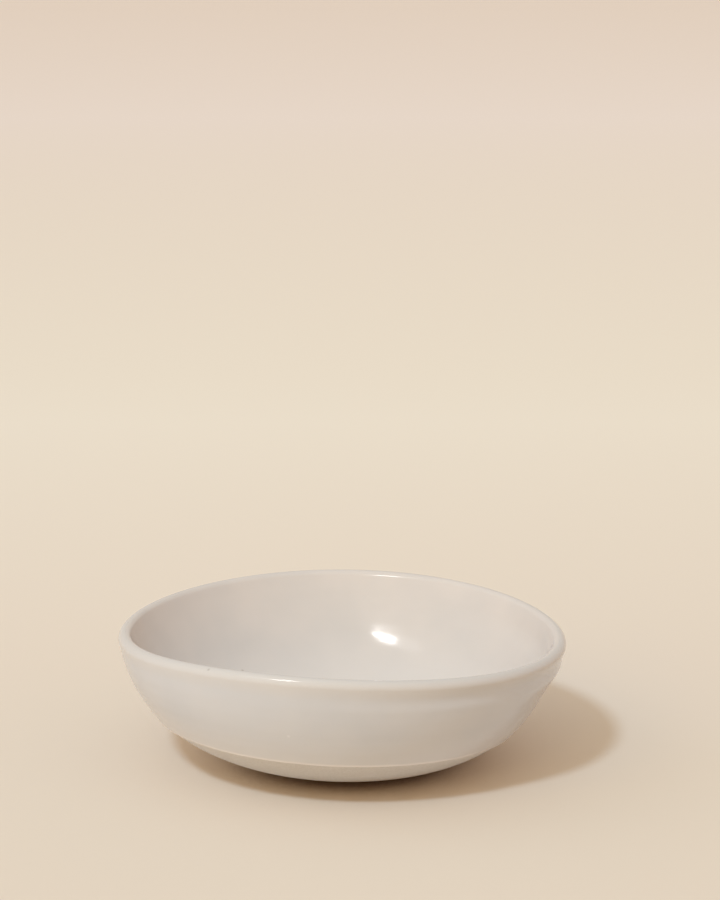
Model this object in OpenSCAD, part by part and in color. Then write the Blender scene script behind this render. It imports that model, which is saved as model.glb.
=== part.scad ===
// Hand-thrown stoneware bowl, glazed inside and outside down to a slanting line above a bare foot.
// The origin is on the table, straight below the middle of the rim. The front is towards -Y.
// The clay is one closed loft, and each glaze coat is a skin lofted on the very same wall points.

/* [Bowl] */
// Diameter over the rim, glaze included
bowl_d = 158; // [130:1:190]
// Height of the rim's crest above the table, before its gentle waves
bowl_h = 48.2; // [40:0.2:60]
// Thickness of the rolled lip, glaze included
lip_t = 4.5; // [3.8:0.1:6]
// Thickness of the clay between the foot's recess and the well
floor_t = 5.5; // [4:0.5:8]

/* [Outer wall] */
// Angle at which the wall leaves the foot, up from level
foot_rise = 12; // [8:0.5:20]
// How far the wall keeps that first direction
foot_reach = 33; // [20:1:40]
// Angle at which the wall meets the lip, up from level
rim_rise = 72; // [60:1:76]
// How far the wall keeps that last direction
rim_reach = 27.5; // [15:0.5:34]

/* [Inner wall] */
// Angle at which the inside leaves the lip, down from level
well_fall = 68; // [58:1:74]
// How far the inside keeps that first direction
well_reach = 32.5; // [20:0.5:38]
// Radius over which the well's bottom runs nearly level
well_r = 54.5; // [40:0.5:60]

/* [Foot] */
// Diameter of the ring that stands on the table
foot_d = 54; // [46:1:66]
// Width of that ring
foot_w = 5; // [3:0.5:9]
// Depth of the shallow recess turned inside the ring
recess_depth = 2; // [1:0.5:3]
// Width of the recess's sloping edge
recess_slope_w = 3; // [1:0.5:6]
// Bevel wiped on both edges of the ring
foot_bevel = 0.5; // [0.2:0.1:1]

/* [Thrown by hand] */
// How far the foot sits to the right of the rim's middle
foot_shift = 3.8; // [-5:0.2:5]
// How far the belly leans to the left at half height
belly_lean = 2.3; // [-3:0.1:3]
// How far the belly leans to the front at half height
belly_front = 1; // [-3:0.2:3]
// Ovalness of the rim, half the difference of its long and short radius
oval = 3; // [0:0.1:3.5]
// Direction of the oval's long radius, from the right hand side
oval_turn = -60; // [-90:1:90]
// How far two sides of the rim rise and the other two dip
saddle = 1.9; // [0:0.1:3]
// Direction in which the rim rises
saddle_turn = 77; // [0:1:180]
// A lesser wave, three times round the rim
wave = 0.3; // [0:0.1:1]
// Direction of one of that wave's crests
wave_turn = 9; // [0:1:120]
// How far the right flank swells out below the rim
swell = 1.6; // [0:0.1:2.5]
// Height of that swell's middle above the table
swell_h = 38.8; // [30:0.2:40]
// How far the left flank is pinched in lower down
pinch = 0.3; // [0:0.1:1.2]
// Height of the pinch's middle above the table
pinch_h = 25; // [16:0.5:30]
// Half the height over which the swell and the pinch fade out
flank_half_h = 5.6; // [3:0.2:8]
// Depth of the soft groove that the fingers pressed below the lip
neck_depth = 0.8; // [0:0.1:1]
// Direction in which that groove is deepest; it fades out a quarter turn away
neck_turn = -40; // [-90:5:90]
// Height of the groove above the table
neck_h = 41.4; // [38:0.1:44]
// Half the height over which the groove fades out
neck_half_h = 2.5; // [2:0.1:5]

/* [Glaze] */
// Thickness of the glaze
glaze_t = 0.45; // [0.3:0.05:0.7]
// Mean height of the glaze line, where the bare clay begins
line_h = 15; // [12:0.2:22]
// How much higher the line stands on one side
line_tilt = 3.6; // [0:0.1:5]
// Direction in which the line is highest
line_turn = 217; // [0:1:360]
// A slow wave of the line, twice round the bowl
line_wave = 0.7; // [0:0.1:1]
// Direction of one of that wave's crests
line_wave_turn = -21; // [-90:1:90]
// How far the rolled edge of the glaze takes to reach its full thickness
edge_w = 0.6; // [0.3:0.1:1.2]
// Extra thickness of the bead along that edge
bead_t = 0.15; // [0:0.05:0.3]
// Width of that bead
bead_w = 2.4; // [1.5:0.1:4]

/* [Smoothness] */
// Facets round the bowl
segments = 64; // [32:4:80]

/* [Hidden] */
clay_colour = [0.73, 0.64, 0.56];
glaze_colour = [0.86, 0.82, 0.77];

lip_r = lip_t / 2 - glaze_t;
lip_c = [bowl_d / 2 - lip_t / 2, bowl_h - lip_t / 2];
foot_r = foot_d / 2;
well_h = recess_depth + floor_t;

// Where the rolled lip takes over from the outer and the inner wall, round its own centre
lip_out = rim_rise - 90;
lip_in = 90 + well_fall;
lip_steps = 5;
roll_steps = 4;

// Shares of the way along each wall at which a ring of facets stands
below_shares = [0.28, 0.56, 0.84];
above_shares = [0.11, 0.24, 0.37, 0.49, 0.6, 0.7, 0.79, 0.87, 0.94];
inside_shares = [0.06, 0.13, 0.21, 0.3, 0.39, 0.48, 0.57, 0.66, 0.75, 0.84, 0.93];

// A unit vector in the section, by its angle up from level
function ray(a) = [cos(a), sin(a)];

// A cubic curve through its first and last point
function curve(p, t) =
    pow(1 - t, 3) * p[0] + 3 * pow(1 - t, 2) * t * p[1] + 3 * (1 - t) * t * t * p[2] + pow(t, 3) * p[3];

// The section's two walls, each a curve in radius and height
outer_start = [foot_r, foot_bevel];
outer_end = lip_c + lip_r * ray(lip_out);
outer_wall = [outer_start, outer_start + foot_reach * ray(foot_rise),
              outer_end - rim_reach * ray(rim_rise), outer_end];
inner_start = lip_c + lip_r * ray(lip_in);
inner_wall = [inner_start, inner_start + well_reach * ray(180 + well_fall),
              [well_r, well_h], [0, well_h]];

// The share of the outer wall's curve at which it reaches a height, found by halving
function share_at(h, lo = 0, hi = 1, steps = 24) =
    let (mid = (lo + hi) / 2)
    steps == 0 ? mid
    : curve(outer_wall, mid)[1] < h ? share_at(h, mid, hi, steps - 1)
    : share_at(h, lo, mid, steps - 1);

function outer_at(t) = curve(outer_wall, t);

// Height of the glaze line and its place on the wall, in the direction a
function line_at(a) =
    line_h + line_tilt * cos(a - line_turn) + line_wave * cos(2 * (a - line_wave_turn));
function line_share(a) = share_at(line_at(a));

// The section's points in the direction a, from the glaze line over the lip's crest to the well
function wall_up(a) = let (edge = share_at(line_at(a) + edge_w), bead = share_at(line_at(a) + bead_w))
    concat([outer_at(edge), outer_at(bead)], [for (u = above_shares) outer_at(bead + (1 - bead) * u)]);
lip_rise = [for (i = [0:lip_steps]) lip_c + lip_r * ray(lip_out + (90 - lip_out) * i / lip_steps)];
lip_roll = [for (i = [0:roll_steps]) lip_c + lip_r * ray(90 + (lip_in - 90) * i / roll_steps)];
inside = [for (u = inside_shares) curve(inner_wall, u)];

function outer_line(a) = concat([outer_at(line_share(a))], wall_up(a), lip_rise);
liner_line = concat(lip_roll, inside);
function without_first(list) = [for (i = [1:len(list) - 1]) list[i]];
function below_line(a) = let (s = line_share(a)) [for (u = below_shares) outer_at(s * u)];
foot_line = [[foot_r - foot_w - recess_slope_w, recess_depth], [foot_r - foot_w, foot_bevel],
             [foot_r - foot_w + foot_bevel, 0], [foot_r - foot_bevel, 0], outer_start];

// The outward direction at point i of a line that runs up the outside or down the inside
function tangent(line, i) = line[min(i + 1, len(line) - 1)] - line[max(i - 1, 0)];
function outward(line, i) = let (t = tangent(line, i), n = [t[1], -t[0]]) n / norm(n);

// The glaze's thickness at a height above its edge: a bead that thins into the even coat
function coat_t(up) = glaze_t + bead_t * exp(-pow(up / bead_w, 2));
function outer_skin(a) = let (line = outer_line(a), last = len(line) - 1)
    [for (i = [1:last]) i == last ? line[i] + [0, glaze_t]
        : line[i] + coat_t(line[i][1] - line[0][1]) * outward(line, i)];
liner_skin = [for (i = [0:len(liner_line) - 1])
    i == 0 ? liner_line[i] + [0, glaze_t] : liner_line[i] + glaze_t * outward(liner_line, i)];

// A swell on the right flank, a pinch on the left one and a groove below the lip, from uneven fingers
function bump(h, middle, half) = exp(-pow((h - middle) / half, 2));
function flank(h, a) = swell * bump(h, swell_h, flank_half_h) * pow(max(0, cos(a)), 4)
    - pinch * bump(h, pinch_h, flank_half_h) * pow(max(0, -cos(a)), 4)
    - neck_depth * bump(h, neck_h, neck_half_h) * pow(max(0, cos(a - neck_turn)), 4);

// The thrower's hand: a point of the section in the direction a, with its lean, oval and waves
function thrown(p, a) =
    let (up = p[1] / bowl_h, belly = 4 * up * (1 - up),
         reach = p[0] / lip_c[0],
         r = p[0] + reach * (up * oval * cos(2 * (a - oval_turn)) + flank(p[1], a)),
         ripple = saddle * cos(2 * (a - saddle_turn)) + wave * cos(3 * (a - wave_turn)))
    [r * cos(a) + foot_shift * (1 - up) - belly_lean * belly,
     r * sin(a) - belly_front * belly,
     p[1] + up * up * reach * ripple];

// Rings of points round the bowl, one for each point of the section
function direction(j) = 360 * j / segments;
function rings(lines) = [for (i = [0:len(lines[0]) - 1], j = [0:segments - 1])
    thrown(lines[j][i], direction(j))];
function around(line) = [for (j = [0:segments - 1]) line];

// Two triangles for each cell between the rings that start at points a and b
function strip(a, b, flip = false) = [for (j = [0:segments - 1])
    let (k = (j + 1) % segments)
    each flip ? [[a + j, b + k, a + k], [a + j, b + j, b + k]]
        : [[a + j, a + k, b + k], [a + j, b + k, b + j]]];
function patch(first, count, flip = false) = [for (i = [0:count - 2])
    each strip(first + i * segments, first + (i + 1) * segments, flip)];
function fan(ring, pole, flip = false) = [for (j = [0:segments - 1])
    let (k = (j + 1) % segments) flip ? [ring + k, ring + j, pole] : [ring + j, ring + k, pole]];

module loft(points, faces) polyhedron(points, [for (f = faces) [f[2], f[1], f[0]]], convexity = 6);

// The fired clay, from the recess under the foot, up the outside, over the lip and down to the well
module clay_body() {
    lines = [for (j = [0:segments - 1]) let (a = direction(j))
        concat(foot_line, below_line(a), outer_line(a), without_first(liner_line))];
    count = len(lines[0]);
    poles = [thrown([0, recess_depth], 0), thrown([0, well_h], 0)];
    color(clay_colour) loft(concat(rings(lines), poles),
        concat(patch(0, count), fan(0, count * segments, true),
               fan((count - 1) * segments, count * segments + 1)));
}

// The inside coat, from the lip's crest to the middle of the well
module liner_glaze() {
    count = len(liner_line);
    far = count * segments;
    poles = [thrown([0, well_h], 0), thrown([0, well_h + glaze_t], 0)];
    color(glaze_colour) loft(
        concat(rings(around(liner_line)), rings(around(liner_skin)), poles),
        concat(patch(0, count, true), fan((count - 1) * segments, 2 * far, true),
               patch(far, count), fan(far + (count - 1) * segments, 2 * far + 1),
               strip(0, far)));
}

// The outside coat, from the slanting glaze line to the lip's crest
module outer_glaze() {
    lines = [for (j = [0:segments - 1]) outer_line(direction(j))];
    skins = [for (j = [0:segments - 1]) outer_skin(direction(j))];
    count = len(lines[0]);
    far = count * segments;
    color(glaze_colour) loft(concat(rings(lines), rings(skins)),
        concat(patch(0, count, true), patch(far, count - 1), strip(0, far),
               strip(far - segments, 2 * far - 2 * segments, true)));
}

clay_body();
liner_glaze();
outer_glaze();
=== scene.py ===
"""Hand-thrown stoneware bowl: its clay body, its two coats of glaze, and the table it stands on."""
import math

import bmesh
import bpy
from bpy.props import FloatProperty, FloatVectorProperty, IntProperty, PointerProperty
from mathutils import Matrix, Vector, noise


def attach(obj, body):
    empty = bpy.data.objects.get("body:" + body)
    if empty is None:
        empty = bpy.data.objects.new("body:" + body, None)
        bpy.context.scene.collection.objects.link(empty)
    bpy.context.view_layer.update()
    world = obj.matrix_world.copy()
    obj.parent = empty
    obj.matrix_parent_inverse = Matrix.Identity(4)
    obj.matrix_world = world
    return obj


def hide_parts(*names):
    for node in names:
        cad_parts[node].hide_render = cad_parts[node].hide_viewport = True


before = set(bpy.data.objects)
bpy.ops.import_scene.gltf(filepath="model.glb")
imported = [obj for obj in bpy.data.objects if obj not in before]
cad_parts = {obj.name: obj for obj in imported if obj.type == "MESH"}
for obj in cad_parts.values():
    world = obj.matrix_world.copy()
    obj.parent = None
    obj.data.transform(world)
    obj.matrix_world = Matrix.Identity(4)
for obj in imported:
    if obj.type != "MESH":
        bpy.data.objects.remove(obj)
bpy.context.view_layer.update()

bl_info = {
    "name": "Hand-thrown bowl",
    "version": (1, 0, 0),
    "blender": (4, 5, 0),
    "location": "View3D > Sidebar > Bowl",
    "description": "Builds a glazed stoneware bowl thrown a little unevenly by hand",
    "category": "Add Mesh",
}

BODY = "root"
UP = Vector((0, 0, 1))
AXIS = Vector((0, 0, 0))

# Meshes: the angle from which an edge stays sharp, the distance within which points become one,
# the steps round the lip and over the glaze's rolled edge, and the room above that edge
SHARP = math.radians(40)
MERGE = 1e-7
LIP_STEPS = 24
EDGE_STEPS = 8
EDGE_GAP = 0.0002
WOBBLES = 7
TABLE_SIDES = 96
EDGE_LAYER = "above_edge"

# Pinholes and spots: which patches hold a pinhole, and where each fades, as shares of its width
PINHOLE_PICK = (0.93, 0.94)
PINHOLE_CORE, PINHOLE_RIM = 0.2, 0.5
SPOT_CORE, SPOT_RIM = 0.1, 0.6

# Noises: the part of each noise's range over which it changes a tone
CLOUD_RANGE = (0.35, 0.65)
PATCH_RANGE = (0.3, 0.7)
GRAIN_RANGE = (0.35, 0.75)
MARK_WAVER = 3.0

# Strengths of a relief, the glaze's refraction, and the sockets of the node that mixes colours
SOFT, FIRM = 0.5, 0.8
GLASS_IOR = 1.5
MIX_FACTOR, MIX_FIRST, MIX_SECOND, MIX_RESULT = 0, 6, 7, 2

# The camera's picture, 36 mm high, and how far it sees, in metres
SENSOR = 36
FARTHEST = 200


def length(name, text, value):
    return FloatProperty(name=name, description=text, default=value, unit="LENGTH", subtype="DISTANCE",
                         precision=5)


def angle(name, text, degrees):
    return FloatProperty(name=name, description=text, default=math.radians(degrees), unit="ROTATION",
                         subtype="ANGLE")


def share(name, text, value):
    return FloatProperty(name=name, description=text, default=value, min=0, subtype="FACTOR", precision=3)


def power(name, text, value):
    return FloatProperty(name=name, description=text, default=value, min=0, precision=3)


def colour(name, text, value):
    return FloatVectorProperty(name=name, description=text, default=value, size=3, min=0, max=1,
                               subtype="COLOR")


def count(name, text, value):
    return IntProperty(name=name, description=text, default=value, min=1)


def point(name, text, value):
    return FloatVectorProperty(name=name, description=text, default=value, size=3, unit="LENGTH",
                               subtype="TRANSLATION", precision=4)


class BowlSizes(bpy.types.PropertyGroup):
    """The bowl as it would be without the unevenness of the hand"""
    bowl_d: length("Rim diameter", "Diameter over the rim, glaze included", 0.158)
    bowl_h: length("Height", "Height of the rim's crest above the table, before its gentle waves", 0.0482)
    lip_t: length("Lip thickness", "Thickness of the rolled lip, glaze included", 0.0045)
    floor_t: length("Floor thickness", "Thickness of the clay between the recess and the well", 0.0055)
    foot_rise: angle("Foot rise", "Angle at which the wall leaves the foot, up from level", 12)
    foot_reach: length("Foot reach", "How far the wall keeps that first direction", 0.033)
    rim_rise: angle("Rim rise", "Angle at which the wall meets the lip, up from level", 72)
    rim_reach: length("Rim reach", "How far the wall keeps that last direction", 0.0275)
    well_fall: angle("Well fall", "Angle at which the inside leaves the lip, down from level", 68)
    well_reach: length("Well reach", "How far the inside keeps that first direction", 0.0325)
    well_r: length("Well radius", "Radius over which the well's bottom runs nearly level", 0.0545)
    foot_d: length("Foot diameter", "Diameter of the ring that stands on the table", 0.054)
    foot_w: length("Foot ring width", "Width of that ring", 0.005)
    recess_depth: length("Recess depth", "Depth of the shallow recess inside the ring", 0.002)
    recess_slope_w: length("Recess slope", "Width of the recess's sloping edge", 0.003)
    foot_bevel: length("Foot bevel", "Bevel wiped on both edges of the ring", 0.0005)
    around: count("Facets round", "Facets round the bowl", 288)
    along: count("Facets along", "Facets along each wall", 72)


class HandUnevenness(bpy.types.PropertyGroup):
    """How the thrower's hand made the bowl depart from a true turned shape"""
    foot_shift: length("Foot shift", "How far the foot sits to the right of the rim's middle", 0.0038)
    belly_lean: length("Belly lean", "How far the belly leans to the left at half height", 0.0023)
    belly_front: length("Belly front", "How far the belly leans to the front at half height", 0.001)
    oval: length("Oval", "Half the difference of the rim's long and short radius", 0.003)
    oval_turn: angle("Oval turn", "Direction of the oval's long radius", -60)
    saddle: length("Saddle", "How far two sides of the rim rise and the other two dip", 0.0019)
    saddle_turn: angle("Saddle turn", "Direction in which the rim rises", 77)
    wave: length("Wave", "A lesser wave, three times round the rim", 0.0003)
    wave_turn: angle("Wave turn", "Direction of one of that wave's crests", 9)
    swell: length("Swell", "How far the right flank swells out below the rim", 0.0016)
    swell_h: length("Swell height", "Height of the swell's middle", 0.0388)
    pinch: length("Pinch", "How far the left flank is pinched in lower down", 0.0003)
    pinch_h: length("Pinch height", "Height of the pinch's middle", 0.025)
    flank_half_h: length("Flank half height", "Half the height over which swell and pinch fade", 0.0056)
    neck_depth: length("Neck depth", "Depth of the soft groove under the lip", 0.0008)
    neck_turn: angle("Neck turn", "Direction in which the groove is deepest", -40)
    neck_h: length("Neck height", "Height of the groove", 0.0414)
    neck_half_h: length("Neck half height", "Half the height over which the groove fades", 0.0025)
    ridge: length("Throwing ridges", "Height of the spiral ridges that the fingers left", 0.00002)
    ridge_pitch: length("Ridge pitch", "Distance from one ridge to the next", 0.0062)
    lumps: length("Lumps", "Height of the slow lumps in the wall", 0.00014)
    lump_size: length("Lump size", "Size of one slow lump", 0.024)


class GlazeSettings(bpy.types.PropertyGroup):
    """The glaze, its lower edge and the colours of glaze and clay"""
    glaze_t: length("Glaze thickness", "Thickness of the glaze", 0.00045)
    line_h: length("Line height", "Mean height of the glaze line", 0.015)
    line_tilt: length("Line tilt", "How much higher the line stands on one side", 0.0036)
    line_turn: angle("Line turn", "Direction in which the line is highest", 217)
    line_wave: length("Line wave", "A slow wave of the line, twice round", 0.0007)
    line_wave_turn: angle("Line wave turn", "Direction of one of that wave's crests", -21)
    line_wobble: length("Line wobble", "Small unevenness of the line", 0.00012)
    edge_w: length("Edge width", "How far the rolled edge takes to reach its full thickness", 0.0006)
    bead_t: length("Bead", "Extra thickness of the bead along the edge", 0.00015)
    bead_w: length("Bead width", "Width of that bead", 0.0024)
    glaze_in: colour("Inside glaze", "Main colour of the inside glaze", (0.624, 0.572, 0.532))
    glaze_in_cool: colour("Cool inside glaze", "Its greyer clouds", (0.591, 0.548, 0.515))
    # Partly pooled glaze and partly a painted sheen: the well's glaze is painted lighter
    glaze_pool_and_sheen: colour("Pooled glaze", "Lighter tone where it has pooled in the well", (0.705, 0.641, 0.592))
    pool_and_sheen_r: length("Pool radius", "Radius inside which the glaze is pooled", 0.044)
    pool_and_sheen_fade: length("Pool fade", "How far the pooled tone takes to fade outward", 0.022)
    glaze_out: colour("Outside glaze", "Main colour of the outside glaze", (0.582, 0.590, 0.617))
    glaze_out_cool: colour("Cool outside glaze", "Its greyer clouds", (0.554, 0.568, 0.603))
    glaze_lip: colour("Lip tone", "Tone where it has run thin over the lip", (0.578, 0.548, 0.520))
    lip_fade: length("Lip fade", "How far below the crest the glaze begins to thin", 0.007)
    # A lighter tone low on the outside wall, fading out upward from the glaze's edge
    glaze_low_wall_tone: colour("Run tone", "Tone of the thick glaze low on the wall", (0.712, 0.718, 0.750))
    low_tone_h: length("Run height", "Height above the edge over which the glaze has run thick", 0.012)
    low_tone_share: share("Run share", "How far the run glaze takes on that tone", 0.6)
    # Partly thicker glaze and partly a painted highlight: the light line along the edge and the pale raised
    # spot
    thick_glaze_and_highlight_tone: colour("Bead tone", "Tone of the light line right at the edge", (0.860, 0.840, 0.860))
    bead_line_w: length("Bead line", "Width of that light line", 0.0013)
    clay: colour("Clay", "Main colour of the bare clay", (0.667, 0.658, 0.661))
    clay_dark: colour("Dark clay", "Colour of the darker grain in the clay", (0.578, 0.561, 0.542))
    speck: colour("Speck", "Colour of the iron specks and pinholes", (0.190, 0.130, 0.085))
    gloss_low: share("Least roughness", "Roughness of the glaze where it is most glossy", 0.10)
    gloss_high: share("Most roughness", "Roughness of the glaze where it is least glossy", 0.15)
    gloss_size: length("Gloss patches", "Size of the more and the less glossy patches", 0.006)
    cloud_size: length("Cloud size", "Size of the greyer clouds", 0.022)
    peel_size: length("Fine ripple size", "Size of the finest ripples in the glaze", 0.0035)
    peel_h: length("Fine ripple height", "Height of the finest ripples", 0.00002)
    ripple_size: length("Slow ripple size", "Size of the slower ripples in the glaze", 0.014)
    ripple_h: length("Slow ripple height", "Height of the slower ripples", 0.00008)
    matt: share("Clay roughness", "Roughness of the bare clay", 0.82)
    clay_shine: share("Clay shine", "How strongly the bare clay mirrors", 0.3)
    clay_relief: length("Clay relief", "Height of the grain and the turning marks in the clay", 0.00006)
    grain: length("Grain", "Size of the grain in the bare clay", 0.0008)
    patch_size: length("Patch size", "Size of the darker patches in the bare clay", 0.012)
    patch_share: share("Patch share", "How far a patch takes on the dark clay's colour", 0.3)
    mark_pitch: length("Turning marks", "Distance between the turning marks on the bare clay", 0.0011)
    mark_share: share("Mark share", "How far a turning mark takes on the dark clay's colour", 0.25)
    pin: length("Pinholes", "Width of a pinhole in the glaze", 0.0005)
    pin_apart: length("Pinhole distance", "Size of the patch that may hold one pinhole", 0.009)
    pit_depth: length("Pit depth", "Depth of a pinhole or a pit", 0.0002)
    lip_pit: point("Lip pit", "A shallow pit on the front left of the lip", (-0.0430, -0.0632, 0.0493))
    wall_pit: point("Wall pit", "A shallow pit low on the inside's back left", (-0.0363, 0.0452, 0.0194))
    pimple: point("Pimple", "A small raised spot on the front", (-0.0170, -0.0711, 0.0291))
    pimple_h: length("Pimple height", "Height of the raised spot", 0.00005)
    spot_w: length("Spot width", "Width of each pit and of the raised spot", 0.0012)
    spot_share: share("Spot share", "How far a shallow pit takes on the speck's colour", 0.35)


class StageSettings(bpy.types.PropertyGroup):
    """The table, the lamps and the camera"""
    table: colour("Table", "Colour of the table around the bowl", (0.775, 0.672, 0.562))
    # Painted light and shade on the table: darker towards the camera and paler farther back, as a lamp's
    # light falls off
    table_near_painted_shade: colour("Near table", "Its duller colour towards the camera", (0.735, 0.632, 0.518))
    table_far_painted_light: colour("Far table", "Its paler colour a little way behind the bowl", (0.847, 0.776, 0.670))
    table_back_painted_light: colour("Table's back", "Its palest colour, farther back", (0.905, 0.842, 0.815))
    # Painted shadow: the table is painted deep brown where the bowl shuts out the sky, as contact shade
    table_painted_shadow: colour("Closed in", "Its deep tone where the bowl closes it in", (0.155, 0.045, 0.010))
    painted_shadow_reach: length("Closing reach", "How far away the bowl can close the table in", 0.05)
    painted_shadow_full_at: share("Closed sky", "Share of open sky at which the table takes on its deep tone", 0.02)
    painted_shadow_gone_at: share("Open sky", "Share of open sky from which the deep tone is gone", 0.10)
    near_y: length("Near tone's end", "How far behind the middle the near colour is at its full", -0.3)
    table_y: length("Table tone's place", "How far behind the middle the table has its own colour", 0.12)
    far_y: length("Far tone's place", "How far behind the middle it has its far colour", 0.7)
    back_from: length("Back tone's start", "How far behind the middle the palest colour begins", 0.9)
    back_to: length("Back tone's place", "How far behind the middle it is at its full", 4.5)
    table_r: length("Table radius", "Radius of the table's surface", 80.0)
    key_power: power("Key", "Strength of the key lamp", 5.0)
    key_tone: colour("Key colour", "Colour of the key lamp", (0.543, 0.761, 1.0))
    key_turn: angle("Key turn", "Direction from which the key lamp shines, from the right", 244.8)
    key_rise: angle("Key rise", "Height of the key lamp above level", 43.7)
    key_away: length("Key distance", "Distance of the key lamp from the bowl", 1.8)
    key_w: length("Key width", "Diameter of the key lamp", 0.20)
    front_power: power("Front", "Strength of the wide warm lamp in front", 0.89)
    front_tone: colour("Front colour", "Colour of the front lamp", (1.0, 0.708, 0.160))
    front_turn: angle("Front turn", "Direction from which the front lamp shines, from the right", 240)
    front_rise: angle("Front rise", "Height of the front lamp above level", 22)
    side_power: power("Side", "Strength of the wide side lamp", 0.456)
    side_tone: colour("Side colour", "Colour of the side lamp", (0.638, 0.789, 1.0))
    side_turn: angle("Side turn", "Direction from which the side lamp shines, from the right", 180)
    side_rise: angle("Side rise", "Height of the side lamp above level", 22)
    wide_size: angle("Wide size", "How wide the front and the side lamp look from the bowl", 60)
    fill_power: power("Fill", "Strength of the light from all round", 1.2)
    fill_high: colour("Fill from above", "Soft light from straight above", (0.520, 0.512, 0.469))
    fill_low: colour("Fill from the side", "Soft light from low down all round", (0.774, 0.521, 0.402))
    fill_top: share("Fill's top", "Sine of the height from which the light is that from above", 0.8)
    window_power: power("Window", "Power of the window that the glaze mirrors", 3.6)
    window_turn: angle("Window turn", "Direction in which the window stands, from the right", 226)
    window_rise: angle("Window rise", "Height of the window above level", 51.2)
    window_w: length("Window width", "Width of the window", 0.325)
    window_h: length("Window height", "Height of the window", 0.138)
    glow_power: power("Glow", "Power of the dim glow beside the window", 0.8)
    glow_turn: angle("Glow turn", "Direction in which the glow stands, from the right", 216)
    glow_rise: angle("Glow rise", "Height of the glow above level", 50)
    glow_w: length("Glow width", "Width of the glow", 0.8)
    glow_h: length("Glow height", "Height of the glow", 0.32)
    window_away: length("Window distance", "Distance of the window and its glow from the bowl", 1.5)
    backdrop: colour("Backdrop", "Colour behind the table, as the camera sees it", (0.775, 0.670, 0.560))
    camera_rise: angle("Camera rise", "Height of the camera above level, seen from the bowl", 17.2)
    camera_distance: length("Camera distance", "Distance of the camera from the bowl's foot", 0.9)
    camera_tilt: angle("Camera tilt", "How far the camera is raised from looking straight down", 79.711)
    camera_turn: angle("Camera turn", "How far the camera is turned to its left", -0.439)
    lens: FloatProperty(name="Lens", description="Focal length for a picture 36 mm high", default=101.463)


# The section

def ray(a):
    """Unit vector in the section, by its angle up from level"""
    return Vector((math.cos(a), 0, math.sin(a)))


def curve(p, t):
    """Cubic curve through its first and last point"""
    s = 1 - t
    return s ** 3 * p[0] + 3 * s * s * t * p[1] + 3 * s * t * t * p[2] + t ** 3 * p[3]


def lip_centre(b):
    return Vector(((b.bowl_d - b.lip_t) / 2, 0, b.bowl_h - b.lip_t / 2))


def lip_radius(b, g):
    return b.lip_t / 2 - g.glaze_t


def outer_wall(b, g):
    """Clay wall from the foot's edge to the lip, as points of the section"""
    start = Vector((b.foot_d / 2, 0, b.foot_bevel))
    end = lip_centre(b) + lip_radius(b, g) * ray(b.rim_rise - math.pi / 2)
    wall = [start, start + b.foot_reach * ray(b.foot_rise), end - b.rim_reach * ray(b.rim_rise), end]
    return [curve(wall, i / b.along) for i in range(b.along + 1)]


def inner_wall(b, g):
    """Clay wall from the lip to the middle of the well"""
    well = b.recess_depth + b.floor_t
    start = lip_centre(b) + lip_radius(b, g) * ray(math.pi / 2 + b.well_fall)
    wall = [start, start + b.well_reach * ray(math.pi + b.well_fall), Vector((b.well_r, 0, well)),
            Vector((0, 0, well))]
    return [curve(wall, i / b.along) for i in range(b.along + 1)]


def lip_arc(b, g, first, last):
    """Points on the lip's round between two angles, its ends left to its neighbours"""
    return [lip_centre(b) + lip_radius(b, g) * ray(first + (last - first) * i / LIP_STEPS)
            for i in range(1, LIP_STEPS)]


def crest(b, g):
    return lip_centre(b) + lip_radius(b, g) * UP


def outside_line(b, g):
    """The clay from the foot's edge up to the crest"""
    return outer_wall(b, g) + lip_arc(b, g, b.rim_rise - math.pi / 2, math.pi / 2) + [crest(b, g)]


def inside_line(b, g):
    """The clay from the crest down to the middle of the well"""
    return [crest(b, g)] + lip_arc(b, g, math.pi / 2, math.pi / 2 + b.well_fall) + inner_wall(b, g)


def foot_line(b):
    """The underside from its middle to the foot's outer edge"""
    r, w, bevel = b.foot_d / 2, b.foot_w, b.foot_bevel
    return [Vector(p) for p in ((0, 0, b.recess_depth), (r - w - b.recess_slope_w, 0, b.recess_depth),
                                (r - w, 0, bevel), (r - w + bevel, 0, 0), (r - bevel, 0, 0))]


def outward(line, i):
    """Direction away from the clay at a point of a line up the outside or down the inside"""
    t = line[min(i + 1, len(line) - 1)] - line[max(i - 1, 0)]
    return Vector((t.z, 0, -t.x)).normalized()


def skin(line, thickness):
    """The line moved outward by the thickness that a function gives at each point"""
    return [p + thickness(p) * outward(line, i) for i, p in enumerate(line)]


# The thrower's hand

def bump_at(h, middle, half):
    return math.exp(-((h - middle) / half) ** 2)


def flank(h, a, hand):
    right = max(0.0, math.cos(a)) ** 4
    left = max(0.0, -math.cos(a)) ** 4
    front = max(0.0, math.cos(a - hand.neck_turn)) ** 4
    return (hand.swell * right * bump_at(h, hand.swell_h, hand.flank_half_h)
            - hand.pinch * left * bump_at(h, hand.pinch_h, hand.flank_half_h)
            - hand.neck_depth * front * bump_at(h, hand.neck_h, hand.neck_half_h))


def thrown(p, b, hand):
    """Where a point of the true turned shape lies in the bowl as it was thrown"""
    a = math.atan2(p.y, p.x)
    r = math.hypot(p.x, p.y)
    up = p.z / b.bowl_h
    belly = 4 * up * (1 - up)
    reach = r / lip_centre(b).x
    ripple = (hand.saddle * math.cos(2 * (a - hand.saddle_turn))
              + hand.wave * math.cos(3 * (a - hand.wave_turn)))
    r += reach * (up * hand.oval * math.cos(2 * (a - hand.oval_turn)) + flank(p.z, a, hand)
                  + up * pressed(p, a, b, hand))
    return Vector((r * math.cos(a) + hand.foot_shift * (1 - up) - hand.belly_lean * belly,
                   r * math.sin(a) - hand.belly_front * belly,
                   p.z + up * up * reach * ripple))


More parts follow.
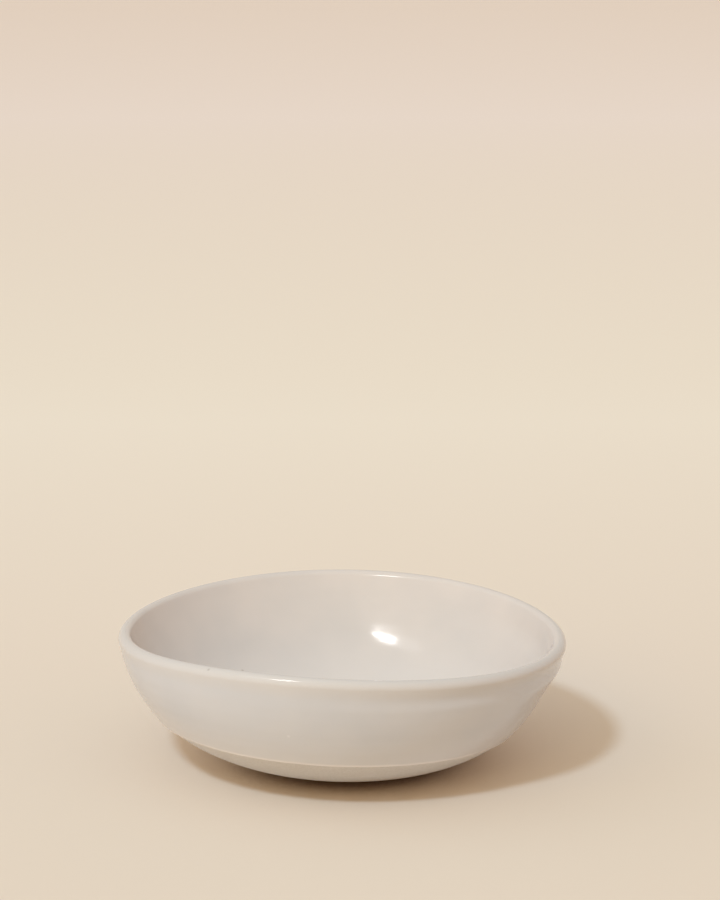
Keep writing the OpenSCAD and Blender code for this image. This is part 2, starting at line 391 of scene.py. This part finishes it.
def pressed(p, a, b, hand):
    """How far slow lumps and a faint spiral of ridges push the wall outward at a point"""
    along = math.hypot(p.x, p.y) + p.z
    fade = min(1, math.hypot(p.x, p.y) / (b.foot_d / 2)) * min(1, max(0, (b.bowl_h - p.z) / b.lip_t))
    spiral = hand.ridge * fade * math.sin(2 * math.pi * along / hand.ridge_pitch + a)
    return spiral + hand.lumps * noise.noise(p / hand.lump_size)


# Meshes

def spun(section, steps, closed=False):
    """Turns a section once round the upright axis, with its seam and poles closed"""
    bm = bmesh.new()
    verts = [bm.verts.new(p) for p in section]
    edges = [bm.edges.new(pair) for pair in zip(verts, verts[1:])]
    if closed:
        edges.append(bm.edges.new((verts[-1], verts[0])))
    bmesh.ops.spin(bm, geom=verts + edges, cent=AXIS, axis=UP, angle=2 * math.pi, steps=steps,
                   use_merge=True, use_duplicate=False)
    bmesh.ops.remove_doubles(bm, verts=bm.verts, dist=MERGE)
    bmesh.ops.recalc_face_normals(bm, faces=bm.faces)
    return bm


def move(bm, place):
    """Moves every point to the place that a function gives, and keeps the steep edges sharp"""
    for v in bm.verts:
        v.co = place(v.co)
    for e in bm.edges:
        e.smooth = e.calc_face_angle(0) < SHARP


def piece(name, bm, node, material):
    """Makes the finished object of a mesh, gives it its body and its material in a slot, and hides the node
    that it replaces
    """
    mesh = bpy.data.meshes.new(name)
    bm.to_mesh(mesh)
    bm.free()
    mesh.materials.append(material)
    mesh.shade_smooth()
    obj = bpy.data.objects.new(name, mesh)
    bpy.context.scene.collection.objects.link(obj)
    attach(obj, BODY)
    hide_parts(node)
    return obj


# Materials

def fresh_material(name):
    material = bpy.data.materials.new(name)
    material.use_nodes = True
    tree = material.node_tree
    tree.nodes.clear()
    out = tree.nodes.new("ShaderNodeOutputMaterial")
    shader = tree.nodes.new("ShaderNodeBsdfPrincipled")
    tree.links.new(shader.outputs[0], out.inputs["Surface"])
    return material, tree, shader


def node(tree, kind, links=(), **values):
    """Adds a node, sets its values and links its inputs"""
    made = tree.nodes.new(kind)
    for key, value in values.items():
        setattr(made, key, value)
    for socket, source in dict(links).items():
        if isinstance(source, bpy.types.NodeSocket):
            tree.links.new(source, made.inputs[socket])
        else:
            made.inputs[socket].default_value = source
    return made


def object_place(tree):
    return node(tree, "ShaderNodeTexCoord").outputs["Object"]


def clouds(tree, place, size, detail=3.0, rough=0.5):
    """A noise whose features are about the given size"""
    return node(tree, "ShaderNodeTexNoise", {"Vector": place, "Scale": 1 / size, "Detail": detail,
                                             "Roughness": rough}).outputs["Fac"]


def spread(tree, value, low, high, to_low=0.0, to_high=1.0):
    return node(tree, "ShaderNodeMapRange", {"Value": value, "From Min": low, "From Max": high,
                                             "To Min": to_low, "To Max": to_high}).outputs[0]


def blend(tree, factor, first, second):
    made = node(tree, "ShaderNodeMix", data_type="RGBA")
    tree.links.new(factor, made.inputs[MIX_FACTOR])
    for socket, source in ((MIX_FIRST, first), (MIX_SECOND, second)):
        if isinstance(source, bpy.types.NodeSocket):
            tree.links.new(source, made.inputs[socket])
        else:
            made.inputs[socket].default_value = (*source, 1)
    return made.outputs[MIX_RESULT]


def relief(tree, height, distance, strength=1.0, below=None):
    made = node(tree, "ShaderNodeBump", {"Height": height, "Distance": distance, "Strength": strength})
    if below is not None:
        tree.links.new(below, made.inputs["Normal"])
    return made.outputs[0]


def pinholes(tree, place, width, apart):
    """Small round pits, each in a patch of its own and most patches left without one"""
    cells = node(tree, "ShaderNodeTexVoronoi", {"Vector": place, "Scale": 1 / apart})
    pick = node(tree, "ShaderNodeSeparateColor", {0: cells.outputs["Color"]}).outputs[0]
    chosen = spread(tree, pick, *PINHOLE_PICK)
    pit = spread(tree, cells.outputs["Distance"], PINHOLE_CORE * width / apart,
                 PINHOLE_RIM * width / apart, 1.0, 0.0)
    return node(tree, "ShaderNodeMath", {0: pit, 1: chosen}, operation="MULTIPLY").outputs[0]


def spot(tree, place, centre, width, amount):
    """One soft round spot about a point"""
    away = node(tree, "ShaderNodeVectorMath", {0: place, 1: centre}, operation="DISTANCE").outputs["Value"]
    return spread(tree, away, SPOT_CORE * width, SPOT_RIM * width, amount, 0.0)


def glaze_material(name, g, tone, cool, toned):
    """A glossy glaze with clouds, pits and ripples; toned adds what only one of the coats has"""
    material, tree, shader = fresh_material(name)
    place = object_place(tree)
    cloud = spread(tree, clouds(tree, place, g.cloud_size, 2), *CLOUD_RANGE)
    pits = pinholes(tree, place, g.pin, g.pin_apart)
    for centre in (g.lip_pit, g.wall_pit):
        pit = spot(tree, place, centre, g.spot_w, g.spot_share)
        pits = node(tree, "ShaderNodeMath", {0: pits, 1: pit}, operation="MAXIMUM").outputs[0]
    tint = toned(tree, place, blend(tree, cloud, tone, cool))
    tree.links.new(blend(tree, pits, tint, g.speck), shader.inputs["Base Color"])
    rough = spread(tree, clouds(tree, place, g.gloss_size, 3), *PATCH_RANGE, g.gloss_low, g.gloss_high)
    tree.links.new(rough, shader.inputs["Roughness"])
    surface = relief(tree, pits, -g.pit_depth)
    surface = relief(tree, spot(tree, place, g.pimple, g.spot_w, 1.0), g.pimple_h, below=surface)
    surface = relief(tree, clouds(tree, place, g.peel_size, 2), g.peel_h, SOFT, surface)
    surface = relief(tree, clouds(tree, place, g.ripple_size, 1), g.ripple_h, SOFT, surface)
    tree.links.new(surface, shader.inputs["Normal"])
    shader.inputs["IOR"].default_value = GLASS_IOR
    return material


def inside_glaze(name, g):
    """The inside glaze, lighter in the well, partly where it has pooled and partly a painted sheen"""
    def pooled(tree, place, tint):
        # Painted sheen and pooled glaze: lighter towards the middle of the well
        level = node(tree, "ShaderNodeVectorMath", {0: place, 1: (1, 1, 0)}, operation="MULTIPLY").outputs[0]
        away = node(tree, "ShaderNodeVectorMath", {0: level}, operation="LENGTH").outputs["Value"]
        return blend(tree, spread(tree, away, g.pool_and_sheen_r, g.pool_and_sheen_r + g.pool_and_sheen_fade), g.glaze_pool_and_sheen, tint)
    return glaze_material(name, g, g.glaze_in, g.glaze_in_cool, pooled)


def outside_glaze(name, g):
    """The outside glaze, thin over the lip, lighter low on the wall above its edge, with a painted highlight
    along the edge and on the raised spot
    """
    top = bpy.context.scene.bowl_sizes.bowl_h - g.line_h

    def thinned_and_lighter_low(tree, place, tint):
        above = node(tree, "ShaderNodeAttribute", attribute_name=EDGE_LAYER).outputs["Fac"]
        tint = blend(tree, spread(tree, above, top - g.lip_fade, top), tint, g.glaze_lip)
        # Lighter low on the wall, fading out above the edge
        tint = blend(tree, spread(tree, above, 0, g.low_tone_h, g.low_tone_share, 0), tint, g.glaze_low_wall_tone)
        # Painted highlight on the raised spot
        tint = blend(tree, spot(tree, place, g.pimple, g.spot_w, g.spot_share), tint, g.thick_glaze_and_highlight_tone)
        # Light line along the edge: partly thicker glaze, partly a painted highlight
        return blend(tree, spread(tree, above, 0, g.bead_line_w, 1, 0), tint, g.thick_glaze_and_highlight_tone)
    return glaze_material(name, g, g.glaze_out, g.glaze_out_cool, thinned_and_lighter_low)


def rings_of(tree, place, pitch, waver):
    """Uneven turning marks that run round the upright axis"""
    wave = node(tree, "ShaderNodeTexWave",
                {"Vector": place, "Scale": 1 / (math.pi * pitch), "Distortion": waver,
                 "Detail": 2.0, "Detail Scale": 1.5},
                wave_type="RINGS", rings_direction="Z")
    return wave.outputs["Fac"]


def clay_material(name, g):
    material, tree, shader = fresh_material(name)
    place = object_place(tree)
    grain = clouds(tree, place, g.grain, 4, 0.65)
    patches = clouds(tree, place, g.patch_size, 2)
    marks = rings_of(tree, place, g.mark_pitch, MARK_WAVER)
    tint = blend(tree, spread(tree, grain, *GRAIN_RANGE), g.clay, g.clay_dark)
    tint = blend(tree, spread(tree, patches, *PATCH_RANGE, 0, g.patch_share), tint, g.clay_dark)
    tint = blend(tree, spread(tree, marks, 0, 1, g.mark_share, 0), tint, g.clay_dark)
    tree.links.new(tint, shader.inputs["Base Color"])
    shader.inputs["Roughness"].default_value = g.matt
    turned = relief(tree, marks, g.clay_relief, FIRM)
    tree.links.new(relief(tree, grain, g.clay_relief, FIRM, turned), shader.inputs["Normal"])
    shader.inputs["Specular IOR Level"].default_value = g.clay_shine
    return material


def material_once(name, make, g):
    return bpy.data.materials.get(name) or make(name, g)


# Operators

class BOWL_OT_clay_body(bpy.types.Operator):
    """Throw the clay body, with its rolled lip, well, turned foot and recess"""
    bl_idname = "bowl.clay_body"
    bl_label = "Clay body"

    def execute(self, context):
        b, hand, g = context.scene.bowl_sizes, context.scene.bowl_hand, context.scene.bowl_glaze
        bm = spun(foot_line(b) + outside_line(b, g) + inside_line(b, g)[1:], b.around)
        move(bm, lambda p: thrown(p, b, hand))
        piece("thrown_clay_body", bm, "clay_body",
              material_once("bare_stoneware", clay_material, g))
        return {"FINISHED"}


class BOWL_OT_liner_glaze(bpy.types.Operator):
    """Coat the inside with glaze, from the crest of the lip to the middle of the well"""
    bl_idname = "bowl.liner_glaze"
    bl_label = "Inside glaze"

    def execute(self, context):
        b, hand, g = context.scene.bowl_sizes, context.scene.bowl_hand, context.scene.bowl_glaze
        line = inside_line(b, g)
        coat = skin(line, lambda p: g.glaze_t)
        bm = spun(list(reversed(line)) + coat, b.around)
        move(bm, lambda p: thrown(p, b, hand))
        piece("inside_glaze_coat", bm, "liner_glaze",
              material_once("inside_gloss_glaze", inside_glaze, g))
        return {"FINISHED"}


def line_offset(a, g):
    """How far the glaze line stands above its mean height in a direction"""
    uneven = g.line_wobble * noise.noise(Vector((math.cos(a), math.sin(a), 0)) * WOBBLES)
    return (g.line_tilt * math.cos(a - g.line_turn)
            + g.line_wave * math.cos(2 * (a - g.line_wave_turn)) + uneven)


def wall_radius(wall, h):
    """Radius of the clay wall at a height, between the two nearest points of its line"""
    for low, high in zip(wall, wall[1:]):
        if low.z <= h <= high.z:
            return low.x + (high.x - low.x) * (h - low.z) / (high.z - low.z)
    return wall[-1].x if h > wall[-1].z else wall[0].x


def coat_section(b, g):
    """The outside coat's section with its edge at the line's mean height"""
    wall = outer_wall(b, g)
    rise = [g.edge_w * (1 - math.cos(math.pi / 2 * i / EDGE_STEPS)) for i in range(EDGE_STEPS + 1)]
    low = [Vector((wall_radius(wall, g.line_h + h), 0, g.line_h + h)) for h in rise]
    line = low + [p for p in outside_line(b, g) if p.z > low[-1].z + EDGE_GAP]

    def thickness(p):
        up = p.z - g.line_h
        rolled = math.sqrt(max(0, 1 - (1 - min(1, up / g.edge_w)) ** 2))
        return rolled * (g.glaze_t + g.bead_t * math.exp(-(up / g.bead_w) ** 2))
    coat = skin(line, thickness)
    coat[-1] = line[-1] + g.glaze_t * UP
    return line, coat


class BOWL_OT_outer_glaze(bpy.types.Operator):
    """Coat the outside with glaze, from its slanting lower edge to the crest of the lip"""
    bl_idname = "bowl.outer_glaze"
    bl_label = "Outside glaze"

    def execute(self, context):
        b, hand, g = context.scene.bowl_sizes, context.scene.bowl_hand, context.scene.bowl_glaze
        line, coat = coat_section(b, g)
        wall = outer_wall(b, g)
        bm = spun(list(reversed(line)) + coat[1:], b.around, closed=True)
        above_edge = bm.verts.layers.float.new(EDGE_LAYER)
        for v in bm.verts:
            v[above_edge] = v.co.z - g.line_h
        top = lip_centre(b).z

        def slid(p):
            a = math.atan2(p.y, p.x)
            fade = min(1, max(0, (top - p.z) / (top - g.line_h)))
            h = p.z + line_offset(a, g) * fade
            out = wall_radius(wall, h) - wall_radius(wall, p.z)
            return thrown(Vector((p.x + out * math.cos(a), p.y + out * math.sin(a), h)), b, hand)
        move(bm, slid)
        piece("outside_glaze_coat", bm, "outer_glaze",
              material_once("outside_gloss_glaze", outside_glaze, g))
        return {"FINISHED"}


def table_material(s):
    """Plain paper with painted light and shade: a little darker in front of the bowl, paler behind it, and a
    painted shadow, deep in tone, under its belly
    """
    material, tree, shader = fresh_material("table_paper")
    way = node(tree, "ShaderNodeSeparateXYZ", {0: object_place(tree)}).outputs["Y"]
    # Painted light and shade along the table: darker in front, paler behind
    tint = blend(tree, spread(tree, way, s.near_y, s.table_y), s.table_near_painted_shade, s.table)
    tint = blend(tree, spread(tree, way, s.table_y, s.far_y), tint, s.table_far_painted_light)
    tint = blend(tree, spread(tree, way, s.back_from, s.back_to), tint, s.table_back_painted_light)
    # Painted contact shadow: the deep tone laid wherever the bowl shuts out the sky
    sky = node(tree, "ShaderNodeAmbientOcclusion", {"Distance": s.painted_shadow_reach}).outputs["AO"]
    tint = blend(tree, spread(tree, sky, s.painted_shadow_full_at, s.painted_shadow_gone_at), s.table_painted_shadow, tint)
    tree.links.new(tint, shader.inputs["Base Color"])
    shader.inputs["Roughness"].default_value = 1
    shader.inputs["Specular IOR Level"].default_value = 0
    return material


def set_world(s):
    """Soft light from all round, and the plain backdrop that the camera and the gloss see"""
    world = bpy.data.worlds.new("soft_room")
    bpy.context.scene.world = world
    world.use_nodes = True
    tree = world.node_tree
    tree.nodes.clear()
    path = node(tree, "ShaderNodeLightPath")
    seen = node(tree, "ShaderNodeMath", {0: path.outputs["Is Camera Ray"], 1: path.outputs["Is Glossy Ray"]},
                operation="MAXIMUM")
    seen = node(tree, "ShaderNodeMath", {0: seen.outputs[0], 1: path.outputs["Is Transmission Ray"]},
                operation="MAXIMUM")
    way = node(tree, "ShaderNodeSeparateXYZ", {0: node(tree, "ShaderNodeTexCoord").outputs["Generated"]})
    height = spread(tree, way.outputs["Z"], 0, s.fill_top)
    tone = blend(tree, height, s.fill_low, s.fill_high)
    fill = node(tree, "ShaderNodeBackground", {"Color": tone, "Strength": s.fill_power})
    backdrop = node(tree, "ShaderNodeBackground", {"Color": (*s.backdrop, 1)})
    mix = node(tree, "ShaderNodeMixShader", {0: seen.outputs[0], 1: fill.outputs[0], 2: backdrop.outputs[0]})
    node(tree, "ShaderNodeOutputWorld", {"Surface": mix.outputs[0]})


def direction(turn, rise):
    return math.cos(rise) * Vector((math.cos(turn), math.sin(turn), 0)) + math.sin(rise) * UP


def hang(light, turn, rise, away=0):
    """Puts a lamp in a direction from the bowl, facing it and unseen by the camera"""
    lamp = bpy.data.objects.new(light.name, light)
    towards = direction(turn, rise)
    lamp.location = away * towards
    lamp.rotation_euler = towards.to_track_quat("Z", "Y").to_euler()
    lamp.visible_camera = False
    bpy.context.scene.collection.objects.link(lamp)
    return lamp


def add_mirrored(name, power, turn, rise, away, width, height):
    """A lamp that only the gloss mirrors"""
    light = bpy.data.lights.new(name, "AREA")
    light.shape, light.size, light.size_y, light.energy = "ELLIPSE", width, height, power
    hang(light, turn, rise, away).visible_diffuse = False


def add_key(s):
    """A round lamp near the bowl, whose light keeps its strength over the whole table"""
    light = bpy.data.lights.new("key", "AREA")
    light.shape, light.size, light.energy, light.color = "DISK", s.key_w, s.key_power, s.key_tone
    light.use_nodes = True
    tree = light.node_tree
    tree.nodes.clear()
    steady = node(tree, "ShaderNodeLightFalloff", {"Strength": 1.0}).outputs["Constant"]
    shine = node(tree, "ShaderNodeEmission", {"Strength": steady})
    node(tree, "ShaderNodeOutputLight", {"Surface": shine.outputs[0]})
    hang(light, s.key_turn, s.key_rise, s.key_away).visible_glossy = False


def add_sun(name, power, tone, turn, rise, size):
    """A distant lamp that the gloss doesn't mirror"""
    light = bpy.data.lights.new(name, "SUN")
    light.energy, light.angle, light.color = power, size, tone
    hang(light, turn, rise).visible_glossy = False


def add_table(s):
    """The round table, its middle under the bowl"""
    bm = bmesh.new()
    bmesh.ops.create_circle(bm, cap_ends=True, cap_tris=True, radius=s.table_r, segments=TABLE_SIDES)
    mesh = bpy.data.meshes.new("table")
    bm.to_mesh(mesh)
    bm.free()
    mesh.materials.append(table_material(s))
    table = bpy.data.objects.new("table", mesh)
    bpy.context.scene.collection.objects.link(table)


def add_lamps(s):
    add_key(s)
    add_sun("front", s.front_power, s.front_tone, s.front_turn, s.front_rise, s.wide_size)
    add_sun("side", s.side_power, s.side_tone, s.side_turn, s.side_rise, s.wide_size)
    add_mirrored("window", s.window_power, s.window_turn, s.window_rise, s.window_away,
                 s.window_w, s.window_h)
    add_mirrored("glow", s.glow_power, s.glow_turn, s.glow_rise, s.window_away, s.glow_w, s.glow_h)


def add_camera(s):
    """The camera in front of the bowl, looking at it from the photograph's angle"""
    lens = bpy.data.cameras.new("camera")
    lens.lens, lens.sensor_width, lens.clip_end = s.lens, SENSOR, FARTHEST
    camera = bpy.data.objects.new("camera", lens)
    camera.location = s.camera_distance * Vector((0, -math.cos(s.camera_rise), math.sin(s.camera_rise)))
    camera.rotation_euler = (s.camera_tilt, 0, s.camera_turn)
    bpy.context.scene.collection.objects.link(camera)
    bpy.context.scene.camera = camera


class BOWL_OT_stage(bpy.types.Operator):
    """Set the table, the lamps and the camera"""
    bl_idname = "bowl.stage"
    bl_label = "Table, lamps and camera"

    def execute(self, context):
        settings = context.scene.bowl_stage
        context.scene.view_settings.view_transform = "Standard"
        add_table(settings)
        set_world(settings)
        add_lamps(settings)
        add_camera(settings)
        return {"FINISHED"}


class BOWL_PT_sidebar(bpy.types.Panel):
    """Buttons for the bowl's pieces and its stage"""
    bl_label = "Bowl"
    bl_idname = "BOWL_PT_sidebar"
    bl_space_type = "VIEW_3D"
    bl_region_type = "UI"
    bl_category = "Bowl"

    def draw(self, context):
        for operator in OPERATORS:
            self.layout.operator(operator.bl_idname)


OPERATORS = (BOWL_OT_stage, BOWL_OT_clay_body, BOWL_OT_liner_glaze, BOWL_OT_outer_glaze)
GROUPS = {"bowl_sizes": BowlSizes, "bowl_hand": HandUnevenness, "bowl_glaze": GlazeSettings,
          "bowl_stage": StageSettings}
CLASSES = (*GROUPS.values(), *OPERATORS, BOWL_PT_sidebar)


def register():
    for item in CLASSES:
        bpy.utils.register_class(item)
    for name, group in GROUPS.items():
        setattr(bpy.types.Scene, name, PointerProperty(type=group))


def unregister():
    for name in GROUPS:
        delattr(bpy.types.Scene, name)
    for item in reversed(CLASSES):
        bpy.utils.unregister_class(item)


def main():
    register()
    bpy.ops.bowl.stage()
    bpy.ops.bowl.clay_body()
    bpy.ops.bowl.liner_glaze()
    bpy.ops.bowl.outer_glaze()


if __name__ == "__main__":
    main()
